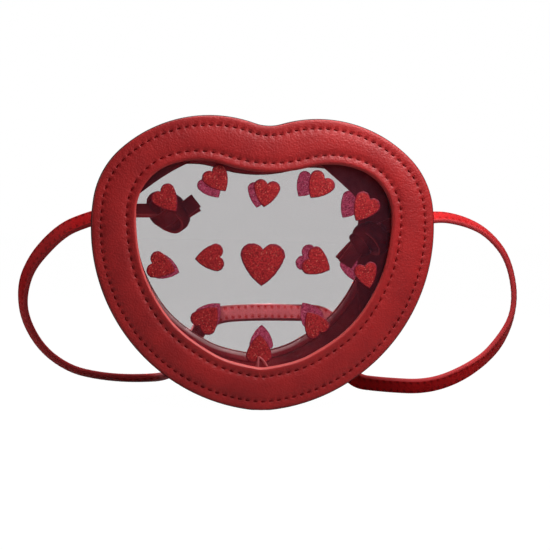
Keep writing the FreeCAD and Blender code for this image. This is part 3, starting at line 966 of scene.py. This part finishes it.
sheetPlan = {
    "columns": 260,
    "shares": [1.07, 1.0, 0.96, 0.9, 0.82, 0.72, 0.6, 0.47, 0.34, 0.2, 0.08, 0.0],  # of the opening
    "middle": 84.0,  # its height
    "bulge": 0.9,
    "thickness": 0.4,
    "reachSteps": 720,
    "pinch": {"place": (0.5, 26.5), "height": 0.9, "across": 2.2, "up": 3.0, "fade": 0.04},
}
heartPlan = {
    "lobe": 0.27, "bellyOut": 0.345, "bellyDown": 0.14,  # shares of a heart's width and, the last, length
    "arcSteps": 14,
    "thickness": 0.34,
    "gap": 0.02,  # to the sheet
    "margin": 0.6,  # least distance from the edge of the opening
    "rough": (0.02, 2.1, 7.0),  # share of unevenness, its scale, and its step from heart to heart
    "rim": (0.95, 0.8),  # where the dark rim starts, and its mark
    "reverseFrom": 0.9,  # faces that point to the sheet this much show the film's reverse
    "dome": [  # share of the outline, share of the thickness
        (0.0, 1.0), (0.45, 1.0), (0.88, 0.95), (0.96, 0.75), (1.0, 0.3), (1.0, 0.0), (0.9, 0.0), (0.0, 0.0),
    ],
    "hearts": [  # shares of the opening's half width and height, width, length, bearing of the tip
        (-0.763, 0.808, 14.7, 15.8, 310), (-0.377, 0.910, 14.9, 15.2, 306), (-0.001, 0.851, 15.1, 15.2, 262),
        (0.412, 0.892, 15.6, 15.6, 235), (0.776, 0.794, 15.6, 16.8, 238), (-0.791, 0.493, 15.2, 15.6, 343),
        (-0.429, 0.539, 15.5, 16.0, 186), (-0.015, 0.512, 25.3, 23.8, 269), (0.422, 0.525, 17.0, 15.8, 333),
        (0.818, 0.469, 13.6, 14.8, 285), (-0.430, 0.253, 16.2, 16.2, 49), (-0.021, 0.110, 14.8, 16.0, 90),
        (0.408, 0.235, 14.6, 15.6, 124),
    ],
    "backShifts": [  # of the back sheet's hearts, sideways and up
        (3.3, -1.6), (1.0, -3.3), (3.0, -0.6), (2.3, 1.2), (4.1, 1.0), (4.9, -4.6), (3.6, -3.0),
        (6.5, -3.5), (5.9, -1.2), (3.4, 0.3), (6.3, -3.4), (8.4, -1.2), (6.9, -0.2),
    ],
}
windowReach = sorted(
    (math.atan2(z - sheetPlan["middle"], x), math.hypot(x, z - sheetPlan["middle"]))
    for x, z in (spotAt(spot, 0.0) for spot in easedSpots(sheetPlan["reachSteps"])[:-1])
)


def openingReach(angle):
    # distance from the sheet's middle to the edge of the opening
    before = windowReach[-1]
    for after in windowReach:
        if after[0] >= angle:
            break
        before = after
    span = (after[0] - before[0]) % (2 * math.pi) or 1.0
    return before[1] + (after[1] - before[1]) * ((angle - before[0]) % (2 * math.pi)) / span


def sheetRise(x, z, pinched):
    # how far the sheet stands out from its seat
    away = Vector((x, z - sheetPlan["middle"]))
    share = away.length / openingReach(math.atan2(away.y, away.x)) if away.length else 0.0
    rise = sheetPlan["bulge"] * max(0.0, 1 - share**2)
    pinch = sheetPlan["pinch"]
    if pinched and share < 1.0:
        offX = abs(x - pinch["place"][0]) / pinch["across"]
        offZ = (z - pinch["place"][1]) / pinch["up"]
        rise += pinch["height"] * math.exp(-offX - offZ**2) * min(1.0, (1 - share) / pinch["fade"])
    return rise


def makeSheet(name, side, node):
    columns, shares, middle = sheetPlan["columns"], sheetPlan["shares"], sheetPlan["middle"]
    spots = easedSpots(columns)

    def place(column, row):
        x, z = spotAt(spots[column % columns], 0.0)
        x, z = x * shares[row], middle + (z - middle) * shares[row]
        return x, side * (sheetDepth + sheetRise(x, z, side < 0)), z, 0.0

    sheet = gridPiece(name, columns, len(shares) - 1, place)
    onlySelect(sheet)
    bpy.ops.object.mode_set(mode="EDIT")
    bpy.ops.mesh.select_all(action="SELECT")
    facing = sum(face.normal.y for face in sheet.data.polygons)
    if facing * side < 0:
        bpy.ops.mesh.flip_normals()
    bpy.ops.object.mode_set(mode="OBJECT")
    area = sum(face.area for face in sheet.data.polygons)
    flat = sheet.dimensions.x, sheet.dimensions.z
    withModifier(sheet, "SOLIDIFY", thickness=sheetPlan["thickness"] * mm, offset=-1.0)
    dressed(sheet, "bag", "clear_sheet", clearSheet, node)
    print(name + ":", [round(length / mm, 1) for length in flat], "mm,", round(area / mm**2), "mm2")
    return sheet, flat, area


def arcThrough(start, way, end):
    # points of the circle arc through three points, without its last one
    ax, ay, bx, by, cx, cy = *start, *way, *end
    scale = 2 * (ax * (by - cy) + bx * (cy - ay) + cx * (ay - by))
    ux = ((ax**2 + ay**2) * (by - cy) + (bx**2 + by**2) * (cy - ay) + (cx**2 + cy**2) * (ay - by)) / scale
    uy = ((ax**2 + ay**2) * (cx - bx) + (bx**2 + by**2) * (ax - cx) + (cx**2 + cy**2) * (bx - ax)) / scale
    radius = math.hypot(ax - ux, ay - uy)
    first = math.atan2(ay - uy, ax - ux)
    passing = (math.atan2(by - uy, bx - ux) - first) % (2 * math.pi)
    turn = (math.atan2(cy - uy, cx - ux) - first) % (2 * math.pi)
    if passing > turn:
        turn -= 2 * math.pi
    steps = heartPlan["arcSteps"]
    angles = [first + turn * step / steps for step in range(steps)]
    return [(ux + radius * math.cos(angle), uy + radius * math.sin(angle)) for angle in angles]


def heartOutline(width, length):
    # a heart round its middle, tip down, from the tip anticlockwise
    lobe = heartPlan["lobe"] * width
    top = length / 2 - lobe
    dip = (0.0, top + math.sqrt(lobe**2 - (width / 2 - lobe) ** 2))
    side, tip = (width / 2, top), (0.0, -length / 2)
    belly = (heartPlan["bellyOut"] * width, -heartPlan["bellyDown"] * length)
    right = arcThrough(tip, belly, side) + arcThrough(side, (width / 2 - lobe, top + lobe), dip)
    left = [(-x, y) for x, y in right[1:] + [dip]]
    return right + left[::-1]


def makeHearts(name, side, node):
    pieces = []
    dome, middle = heartPlan["dome"], sheetPlan["middle"]
    uneven, scale, stride = heartPlan["rough"]
    rimFrom, rimMark = heartPlan["rim"]
    for number, (across, up, width, length, tip) in enumerate(heartPlan["hearts"]):
        shiftX, shiftZ = heartPlan["backShifts"][number] if side > 0 else (0.0, 0.0)
        middleX = across * windowHeart["span"] / 2 + shiftX
        middleZ = windowHeart["base"] + up * windowHeart["height"] + shiftZ
        outline = heartOutline(width, length)
        turn = math.radians(tip + 90)

        def place(column, row):
            share, lift = dome[row]
            u, v = outline[column % len(outline)]
            rough = 1 + uneven * noise.noise(Vector((u * scale, v * scale, number * stride)))
            u, v = u * share * rough, v * share * rough
            x = middleX + u * math.cos(turn) - v * math.sin(turn)
            z = middleZ + u * math.sin(turn) + v * math.cos(turn)
            away = Vector((x, z - middle))
            most = openingReach(math.atan2(away.y, away.x)) - heartPlan["margin"]
            if away.length > most:
                away *= most / away.length
                x, z = away.x, middle + away.y
            rise = sheetRise(x, z, side < 0) + heartPlan["gap"] + heartPlan["thickness"] * lift
            return x, side * (sheetDepth + rise), z, rimMark if share > rimFrom else 0.0

        pieces.append(gridPiece(name + str(number), len(outline), len(dome) - 1, place))
    hearts = joined(pieces, name)
    dressed(hearts, "bag", "glitter_film", redGlitter, node)
    hearts.data.materials.append(plumGlitter)
    for face in hearts.data.polygons:
        face.material_index = 1 if face.normal.y * side < -heartPlan["reverseFrom"] else 0
    return hearts


pleatPlan = {
    "folds": [  # x, z and radius along each fold of the pleat
        [(-2.4, 23.6, 1.1), (-2.0, 26.8, 0.8), (-1.8, 30.0, 0.5)],
        [(-1.6, 29.8, 0.5), (1.0, 28.6, 0.6), (3.4, 23.8, 0.75)],
    ],
    "steps": 12,
    "round": 10,
    "lift": 0.5,
    "depth": 1.4,  # in radii
}


def makePleat():
    # two folds of the clear sheet that meet above the tip of the opening, coloured pink and nearly opaque as
    # a painted highlight on the folds
    pieces = []
    steps, around = pleatPlan["steps"], pleatPlan["round"]
    for number, fold in enumerate(pleatPlan["folds"]):
        line, _ = evenLine(curveLine([Vector((x, radius, z)) for x, z, radius in fold], steps), steps)

        def place(column, row):
            x, radius, z = line[column]
            turn = math.pi * 2 * (row % around) / around
            ahead = line[min(column + 1, steps)] - line[max(column - 1, 0)]
            wide = Vector((ahead.z, 0.0, -ahead.x)).normalized() * radius * math.cos(turn)
            seat = -sheetDepth - sheetRise(x, z, True) - pleatPlan["lift"]
            return x + wide.x, seat + pleatPlan["depth"] * radius * math.sin(turn), z + wide.z, 0.0

        pieces.append(gridPiece("pleat" + str(number), steps, around, place, fillEnds=True))
    return dressed(joined(pieces, "frontPleat"), "bag", "clear_sheet", pleatSheet)


pleat = makePleat()
for side, label in panels:
    sheet, flat, area = makeSheet(label + "Sheet", side, label + "_window")
    hearts = makeHearts(label + "Hearts", side, label + "_hearts")
print("windows: two clear sheets with", len(heartPlan["hearts"]), "glitter hearts each")


# Gusset, with its turned-out seam allowances, and its lining

gussetPlan = {
    "columns": 360,
    "butt": 0.1,  # gap at each end
    "runInset": 8.0,  # at which the lengths of the gusset and the zip are measured
    "smooth": 50,
    "profile": [  # inset from the panel's outline, depth from the middle of the purse
        (0.3, -29.7), (6.2, -29.7), (7.3, -29.4), (7.9, -28.6), (8.1, -27.0), (8.5, -18.0), (8.7, -6.0),
        (8.7, 6.0), (8.5, 18.0), (8.1, 27.0), (7.9, 28.6), (7.3, 29.4), (6.2, 29.7), (0.3, 29.7),
        (0.3, 30.9), (9.4, 30.9), (9.6, 29.0), (9.65, 0.0), (9.6, -29.0), (9.4, -30.9), (0.3, -30.9),
    ],
}
liningPlan = {
    "inset": 9.75,
    "thickness": 0.4,
    "half": 30.8,
    "rows": 24,
    "crease": 0.35,
    "wrinkles": [(1.0, 0.05, 0.09), (0.5, 0.13, 0.2)],  # share, scale along the gusset and across it
    "edgeFade": 8,
}


def trimmedArc(arc, atStart, atEnd, inset):
    x, z, radius, start, end, bulge = arc
    turn = 1 / math.radians(1) / (radius - bulge * inset)
    return x, z, radius, start + atStart * turn, end - atEnd * turn, bulge


gussetRun = ("left shoulder", "left flank", "left tip", "tip", "flank", "shoulder")
gussetArcs = [panelArcs[name] for name in gussetRun]
gussetArcs[0] = trimmedArc(gussetArcs[0], gussetPlan["butt"], 0.0, gussetPlan["runInset"])
gussetArcs[-1] = trimmedArc(gussetArcs[-1], 0.0, gussetPlan["butt"], gussetPlan["runInset"])
zipArcs = [panelArcs[name] for name in ("top", "cleft", "left top")]


def profileAlong(name, arcs, columns, profile):
    # a closed profile of (inset, y) points swept along a run of arcs, with capped ends
    spots, _ = evenSpots(arcs, columns, gussetPlan["runInset"])

    def place(column, row):
        inset, y = profile[row % len(profile)]
        x, z = spotAt(spots[column], inset)
        return x, y, z, 0.0

    return gridPiece(name, columns, len(profile), place, fillEnds=True)


def makeGusset():
    gusset = profileAlong("gussetBand", gussetArcs, gussetPlan["columns"], gussetPlan["profile"])
    bpy.ops.object.shade_smooth_by_angle(angle=math.radians(gussetPlan["smooth"]))
    dressed(gusset, "bag", "red_leather", redLeather, "gusset_band", "front_seam_flange", "back_seam_flange")


gorePlan = {
    "columns": 60,
    "rows": 10,
    "inset": 10.6,
    "run": {1: (70.0, 34.0), -1: (2.0, 34.0)},  # down the flank and along the top, on each side
    "edge": {  # the free edge
        1: [
            (64, 68), (63, 76), (64.4, 84), (61.8, 95), (64, 106), (63.5, 120), (54.4, 127.7), (46, 134.6),
            (38, 141),
        ],
        -1: [(79, 112), (70, 119), (64.8, 123.3), (51.6, 133), (38.3, 139.9), (34, 143)],
    },
    "edgeResolution": 16,
    "depth": (30.6, 25.0),  # at the gusset and at the free edge
    "sag": 1.6,
    "folds": {"along": 0.12, "across": 2.0, "side": 5.0, "level": 0.6},
    "breadth": 20.0,  # that it adds to the flat cut of the lining
}


def makeGore(name, side):
    # a part of the lining that reaches from the gusset and the zip towards the back window
    inset, columns = gorePlan["inset"], gorePlan["columns"]
    down, along = gorePlan["run"][side]
    flank, shoulder, top = (panelArcs[part] for part in ("flank", "shoulder", "top"))
    flank = trimmedArc(flank, evenSpots([flank], 1, inset)[1] - down, 0.0, inset)
    top = trimmedArc(top, 0.0, evenSpots([top], 1, inset)[1] - along, inset)
    spots, _ = evenSpots([flank, shoulder, top], columns, inset)
    corners = [Vector((u, 0.0, v)) for u, v in gorePlan["edge"][side]]
    edge, _ = evenLine(curveLine(corners, gorePlan["edgeResolution"]), columns)
    folds = gorePlan["folds"]
    seam, free = gorePlan["depth"]

    def place(column, row):
        share = row / gorePlan["rows"]
        u, v = spotAt(spots[column], inset)
        spot = Vector((u, 0.0, v)).lerp(edge[column], share)
        where = Vector((spot.x, 0.0, spot.z)) * folds["along"]
        where += Vector((0.0, share * folds["across"], side * folds["side"]))
        fold = folds["level"] + noise.noise(where)
        depth = seam + (free - seam) * share - gorePlan["sag"] * math.sin(math.pi * share) * fold
        return side * spot.x, depth, spot.z, 0.0

    return gridPiece(name, columns, gorePlan["rows"], place)


def makeLining():
    half, inset = liningPlan["half"], liningPlan["inset"]
    spots, total = evenSpots(gussetArcs, gussetPlan["columns"], inset)

    def place(column, row):
        y = half * (2 * row / liningPlan["rows"] - 1)
        x, z = spotAt(spots[column], inset)
        wrinkle = 1.0
        for share, along, across in liningPlan["wrinkles"]:
            wrinkle += share * noise.noise(Vector((x * along, y * across, z * along)))
        edge = min(1.0, (1 - abs(y) / half) * liningPlan["edgeFade"])
        x, z = spotAt(spots[column], inset + liningPlan["thickness"] + liningPlan["crease"] * wrinkle * edge)
        return x, y, z, 0.0

    lining = gridPiece("gussetLining", gussetPlan["columns"], liningPlan["rows"], place)
    gores = [makeGore("gore", 1), makeGore("gore", -1)]
    lining = joined([lining] + gores, "gussetLining")
    withModifier(lining, "SOLIDIFY", thickness=liningPlan["thickness"] * mm, offset=0.0)
    dressed(lining, "bag", "wine_lining", wineLining, "gusset_lining")


makeGusset()
makeLining()
print("gusset: band, seam allowances and lining")


# Zip: panels, tapes, coil teeth, stops, tabs, sliders and pulls

zipPlan = {
    "columns": 240,
    "panel": [  # as the gusset's profile
        (0.3, -29.7), (6.2, -29.7), (7.3, -29.4), (7.9, -28.6), (8.0, -27.0), (8.0, -18.0), (7.95, -9.6),
        (7.85, -7.6), (8.0, -6.9), (8.5, -6.5), (9.2, -6.5), (9.55, -6.9), (9.6, -9.0), (9.6, -29.0),
        (9.4, -30.9), (0.3, -30.9),
    ],
    "tape": [(9.72, -12.4), (9.72, -3.0), (9.72, -0.75), (10.2, -0.7), (10.2, -3.0), (10.2, -12.4)],
    "ends": 4.6,  # free of teeth
    "tooth": 1.35,  # from tooth to tooth
    "toothSize": (0.46, 1.25, 0.85),  # along the zip, across it and high, half sizes
    "toothEdge": 0.34,
    "toothRun": 8.6,  # inset at which the teeth are counted
    "toothPlace": (8.72, 1.3),  # inset, and from the middle of the zip
    "seamPlace": (7.85, 8.8),  # the same for the stitch row
    "seamPitch": 4.0,
}


def mirroredProfile(profile, side):
    return profile if side < 0 else [(inset, -y) for inset, y in profile]


def placedOn(spot, inset, y):
    # a matrix that stands on the zip's run: Z outwards, Y across the purse
    x, z = spotAt(spot, inset)
    out = spotOut(spot)
    across = Vector((0.0, 1.0, 0.0))
    turn = Matrix((across.cross(out), across, out)).transposed().to_4x4()
    return Matrix.Translation(Vector((x, y, z)) * mm) @ turn


def toothMaster():
    bpy.ops.object.select_all(action="DESELECT")
    bpy.ops.mesh.primitive_cube_add(size=2.0)
    master = bpy.context.object
    master.data.transform(Matrix.Diagonal((*(Vector(zipPlan["toothSize"]) * mm), 1.0)))
    withModifier(master, "BEVEL", width=zipPlan["toothEdge"] * mm, segments=2)
    bpy.ops.object.shade_smooth()
    return master


def makeZipSide(label, side):
    columns, low = zipPlan["columns"], label.lower()
    panel = profileAlong("zipPanel" + label, zipArcs, columns, mirroredProfile(zipPlan["panel"], side))
    bpy.ops.object.shade_smooth_by_angle(angle=math.radians(gussetPlan["smooth"]))
    dressed(panel, "bag", "red_leather", redLeather, "zip_panel_" + low)
    tape = profileAlong("zipTape" + label, zipArcs, columns, mirroredProfile(zipPlan["tape"], side))
    dressed(tape, "bag", "zip_tape", zipTape, "zip_tape_" + low)

    first = trimmedArc(zipArcs[0], zipPlan["ends"], 0.0, gussetPlan["runInset"])
    last = trimmedArc(zipArcs[-1], 0.0, zipPlan["ends"], gussetPlan["runInset"])
    run = [first, zipArcs[1], last]
    _, total = evenSpots(run, 1, zipPlan["toothRun"])
    teeth = round(total / zipPlan["tooth"])
    spots, _ = evenSpots(run, 2 * teeth, zipPlan["toothRun"])
    odd = 0 if side < 0 else 1
    inset, away = zipPlan["toothPlace"]
    turns = [placedOn(spot, inset, side * away) for spot in spots[odd:-1:2]]
    coil = copiesOf(toothMaster(), turns, "zipCoil" + label)
    dressed(coil, "bag", "zip_coil", zipCoil, "zip_coil_" + low)

    spots, _ = evenSpots(run, round(total / zipPlan["seamPitch"]))
    lie = Matrix.Rotation(math.radians(90), 4, "Y")
    inset, away = zipPlan["seamPlace"]
    turns = [placedOn(spot, inset, side * away) @ lie for spot in spots]
    seam = copiesOf(threadMaster(), turns, "zipSeam" + label)
    dressed(seam, "bag", "red_leather", redThread)
    return teeth


teeth = makeZipSide("Front", -1)
makeZipSide("Back", 1)
fittings = [  # CAD piece, name, body, slot, material, width of its broken edges and their segments
    ("zip_end_stops", "zipStops", "bag", "zip_metal", paleGold, 0.3, 2),
]
for label in ("left", "right"):
    title = label.title()
    fittings += [
        ("zip_end_tab_" + label, "zipTab" + title, "bag", "red_leather", redLeather, 0.35, 2),
        ("zip_slider_" + label, "zipSlider" + title, "slider_" + label, "zip_metal", paleGold, 0.3, 3),
        ("zip_pull_" + label, "zipPull" + title, "pull_" + label, "zip_metal", paleGold, 0.3, 3),
        ("slot_patch_" + label, "slotPatch" + title, "bag", "wine_lining", wineLining, 0.25, 2),
    ]
for node, name, body, slot, material, edge, segments in fittings:
    dressed(roundedCopy(node, name, edge, segments), body, slot, material, node)
print("zip:", teeth, "teeth a side, two sliders with pulls")


# Inside of the rings, seen through the clear sheets, in lighter leather that carries painted light

for side, label in panels:
    dressed(makeTrim(label, "Lip", side), "bag", "red_leather", turnedLip)
    dressed(makeTrim(label, "Board", side), "bag", "board", ringBacking, label + "_ring_board")
print("liners: two lips and two boards")


# Knots at the strap's ends, inside the purse

knotPlan = {
    "width": 10.4,
    "tailWidth": 9.2,
    "thickness": 2.9,
    # lighter rims: wear and a painted highlight on the knot's edges
    "edgeWearAndSheen": 0.7,
    "size": (11.6, 9.6, 11.0),  # half sizes of a lump along the strap, towards the window and upright
    "core": 0.7,
    "band": [  # half a wrap: latitude across it, share of its size, mark (1 on its stitch rows, below 0 wear and painted highlight on the wrap's rims)
        (-90, 0.60, 0), (-62, 0.62, 0), (-40, 0.68, 0), (-27, 0.76, 0), (-29, 0.92, -0.5), (-27.5, 1.0, -0.9),
        (-24, 1.03, 0), (-19, 1.04, 0), (-16.5, 1.035, 1), (-14, 1.045, 0), (0, 1.05, 0),
    ],
    "stitches": 16,  # round a wrap
    "stepsPerStitch": 6,
    "holeShade": 0.8,
    "dent": 0.03,  # in sizes
    "crease": (0.04, 2.3),  # share of the size, and scale
    "neck": (0.0, 0.4, 0.8),  # shares of the way from the strap's end to the knot's middle
    "resolution": 8,
    "tailFan": 7.0,  # between the two layers of a tail
    "tailGap": 0.55,  # between them, in thicknesses
    "ends": {
        "Left": {
            "start": (-80.2, 0.0, 109.4), "middle": (-53.4, 0.0, 110.0),
            "wraps": [  # sideways and up from the middle, lean about Y and about Z, share of the size
                (0, 0, 40, 24, 0.92), (2.6, -3.4, -40, 56, 0.88), (-4.4, 2.0, -8, 30, 0.80),
            ],
            "tail": [(4.0, -1.0, -4.0), (10.0, -4.5, 0.6), (16.5, -2.5, 5.2)],
        },
        "Right": {
            "start": (80.2, 0.0, 105.8), "middle": (63.5, 0.0, 98.4),
            "wraps": [(4.6, -1.6, -38, 24, 0.92), (5.0, 1.0, 52, 10, 0.68), (-3.0, -5.0, -30, -16, 0.68)],
            "tail": [(-3.0, -1.0, -4.0), (-9.0, -5.0, -9.5), (-13.6, -3.5, -16.4)],
        },
    },
}


def knotWrap(name, middle, lean, tip, share):
    # a band round the lump, its ends sunk in
    axis = Vector((1.0, 0.0, 0.0))
    axis.rotate(Matrix.Rotation(math.radians(lean), 3, "Y"))
    axis.rotate(Matrix.Rotation(math.radians(tip), 3, "Z"))
    first = axis.orthogonal().normalized()
    second = axis.cross(first)
    size, half = knotPlan["size"], knotPlan["band"]
    band = half + [(-latitude, reach, mark) for latitude, reach, mark in half[-2::-1]]
    perStitch = knotPlan["stepsPerStitch"]
    columns = knotPlan["stitches"] * perStitch
    uneven, scale = knotPlan["crease"]

    def place(column, row):
        latitude, reach, mark = band[row]
        column %= columns
        if mark > 0:
            mark = max(0.0, stitchPress(column % perStitch / perStitch)) * knotPlan["holeShade"]
        turn = 2 * math.pi * column / columns
        tilt = math.radians(latitude)
        way = axis * math.sin(tilt) + (first * math.cos(turn) + second * math.sin(turn)) * math.cos(tilt)
        crease = 1 + uneven * noise.noise(way * scale + Vector((lean, 0.0, 0.0)))
        reach *= share * crease * (1 - knotPlan["dent"] * max(0.0, mark))
        spot = middle + Vector(way[i] * size[i] for i in range(3)) * reach
        return spot.x, spot.y, spot.z, mark

    return gridPiece(name, columns, len(band) - 1, place)


def makeKnot(label, end):
    start, middle = Vector(end["start"]), Vector(end["middle"])
    front = Vector((0.0, -1.0, 0.0))
    name = "strapKnot" + label
    bpy.ops.object.select_all(action="DESELECT")
    bpy.ops.mesh.primitive_uv_sphere_add(segments=32, ring_count=18, radius=knotPlan["core"])
    core = bpy.context.object
    size = Matrix.Diagonal((*(Vector(knotPlan["size"]) * mm), 1.0))
    core.data.transform(Matrix.Translation(middle * mm) @ size)
    bpy.ops.object.shade_smooth()
    pieces = [core]
    for number, (sideways, up, lean, tip, share) in enumerate(end["wraps"]):
        pieces.append(knotWrap(name + str(number), middle + Vector((sideways, 0.0, up)), lean, tip, share))
    tilt = math.radians(strapPlan["twist"][0][1])
    across = Vector((0.0, math.cos(tilt), math.sin(tilt)))
    thickness, wearAndSheen, resolution = knotPlan["thickness"], knotPlan["edgeWearAndSheen"], knotPlan["resolution"]
    section = flatSection(knotPlan["width"], thickness, strapPlan["stitchFrom"], wearAndSheen)
    neck = curveLine([start.lerp(middle, share) for share in knotPlan["neck"]], resolution)
    pieces.append(bandAlong(name + "Neck", neck, section, lambda number, ahead: across))
    section = flatSection(knotPlan["tailWidth"], thickness / 2, None, wearAndSheen)
    for layer in (-0.5, 0.5):  # the strap's two layers part at its end
        fan = Matrix.Rotation(math.radians(layer * knotPlan["tailFan"]), 3, "Y")
        apart = front * layer * thickness * knotPlan["tailGap"]
        flap = curveLine([middle + fan @ Vector(spot) - apart for spot in end["tail"]], resolution)
        pieces.append(bandAlong(name + "Tail", flap, section, lambda number, ahead: ahead.cross(front)))
    knot = joined(pieces, name)
    return dressed(knot, "bag", "red_leather", knotLeather, "strap_knot_" + label.lower())


knots = [makeKnot(label, end) for label, end in knotPlan["ends"].items()]
print("knots:", len(knots))
